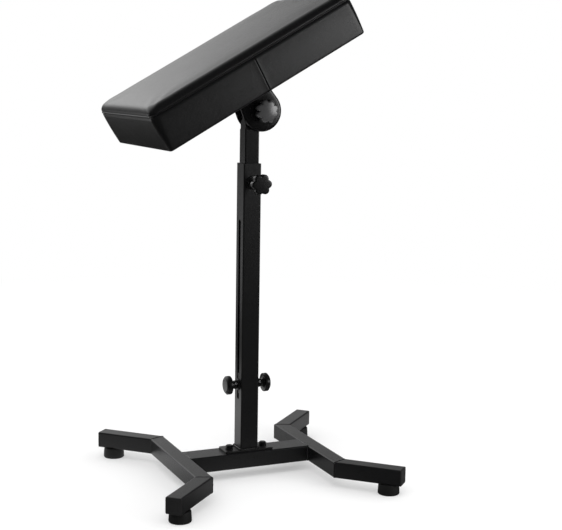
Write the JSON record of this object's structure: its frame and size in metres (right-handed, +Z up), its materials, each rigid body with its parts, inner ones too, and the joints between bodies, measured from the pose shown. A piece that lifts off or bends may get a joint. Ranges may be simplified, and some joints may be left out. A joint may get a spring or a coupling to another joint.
{
  "type": "tattoo arm rest stand",
  "caption": "Free-standing arm rest: a tilting upholstered pad on a height-adjustable square post over a splayed tube base.",
  "frame": {"origin": "on the floor, under the middle of the base beam and post", "axes": "+X along the base beam towards the pad's raised end, +Y across it away from the clamp knobs, +Z up along the post"},
  "size_m": [0.4708, 0.457, 0.8953],
  "materials": {
    "frame_steel": "satin black powder coat, fine texture",
    "mast_steel": "smooth satin black enamel",
    "weld_paint": "powder-coated weld bead",
    "black_screws": "blackened steel",
    "zinc_steel": "zinc-plated steel",
    "knob_plastic": "moulded black phenolic",
    "cap_plastic": "matt black cap",
    "plug_plastic": "moulded polyethylene",
    "guide_plastic": "dark nylon",
    "foot_rubber": "matt black rubber",
    "brass_insert": "knurled brass",
    "bush_nylon": "natural nylon",
    "friction_fibre": "pressed fibre",
    "pad_leather": "black artificial leather, fine grain, soft sheen",
    "pad_foam": "upholstery foam",
    "pad_wood": "birch plywood",
    "underside_cloth": "black non-woven dust cover"
  },
  "bodies": {
    "base": {"base_beam": "frame_steel", "cross_tube_left": "frame_steel", "cross_tube_right": "frame_steel", "leg_front_left": "frame_steel", "leg_front_right": "frame_steel", "leg_rear_left": "frame_steel", "leg_rear_right": "frame_steel", "leg_plug_front_left": "plug_plastic", "leg_plug_front_right": "plug_plastic", "leg_plug_rear_left": "plug_plastic", "leg_plug_rear_right": "plug_plastic", "foot_front_left": "foot_rubber", "foot_front_right": "foot_rubber", "foot_rear_left": "foot_rubber", "foot_rear_right": "foot_rubber", "foot_screws": "zinc_steel", "foot_nuts": "zinc_steel", "base_welds": "weld_paint", "post_flange": "frame_steel", "post_weld": "weld_paint", "flange_bolts": "black_screws", "flange_washers": "black_screws", "beam_nuts": "zinc_steel", "outer_post": "frame_steel", "clamp_boss": "frame_steel", "guide_sleeve": "guide_plastic"},
    "clamp_knob": {"star_knob": "knob_plastic", "star_knob_stud": "zinc_steel"},
    "mast": {"inner_tube": "mast_steel", "lower_guide": "guide_plastic", "slot_rod": "zinc_steel", "slot_collar_left": "black_screws", "slot_collar_right": "black_screws", "pivot_head": "mast_steel", "pivot_bush": "bush_nylon"},
    "left_slot_knob": {"slot_knob_left": "knob_plastic", "slot_knob_insert_left": "brass_insert", "slot_knob_cap_left": "cap_plastic"},
    "right_slot_knob": {"slot_knob_right": "knob_plastic", "slot_knob_insert_right": "brass_insert", "slot_knob_cap_right": "cap_plastic"},
    "pad": {"ear_front": "mast_steel", "ear_rear": "mast_steel", "pad_plate": "mast_steel", "ear_welds": "weld_paint", "friction_washers": "friction_fibre", "pivot_nut": "zinc_steel", "tilt_knob_washer": "zinc_steel", "pad_board": "pad_wood", "pad_foam": "pad_foam", "pad_cover": "pad_leather", "underside_cloth": "underside_cloth", "pad_bolts": "zinc_steel", "pad_washers": "zinc_steel", "tee_nuts": "zinc_steel"},
    "tilt_knob": {"tilt_knob": "knob_plastic", "tilt_knob_stud": "zinc_steel"}
  },
  "joints": [
    {"name": "height", "type": "slide", "parent": "base", "child": "mast", "axis": [0, 0, 1], "range_m": [-0.02, 0.305]},
    {"name": "clamp_knob_turn", "type": "hinge", "parent": "base", "child": "clamp_knob", "pos_m": [0, -0.03, 0.558], "axis": [0, -1, 0], "range_deg": [0, 450]},
    {"name": "left_slot_knob_turn", "type": "hinge", "parent": "mast", "child": "left_slot_knob", "pos_m": [-0.03, 0, 0.177], "axis": [-1, 0, 0], "range_deg": [0, 450]},
    {"name": "right_slot_knob_turn", "type": "hinge", "parent": "mast", "child": "right_slot_knob", "pos_m": [0.03, 0, 0.177], "axis": [1, 0, 0], "range_deg": [0, 450]},
    {"name": "pad_tilt", "type": "hinge", "parent": "mast", "child": "pad", "pos_m": [0.017, 0, 0.689], "axis": [0, -1, 0], "range_deg": [-120, 60]},
    {"name": "tilt_knob_turn", "type": "hinge", "parent": "pad", "child": "tilt_knob", "pos_m": [0.017, -0.03, 0.689], "axis": [0, -1, 0], "range_deg": [0, 450]}
  ]
}
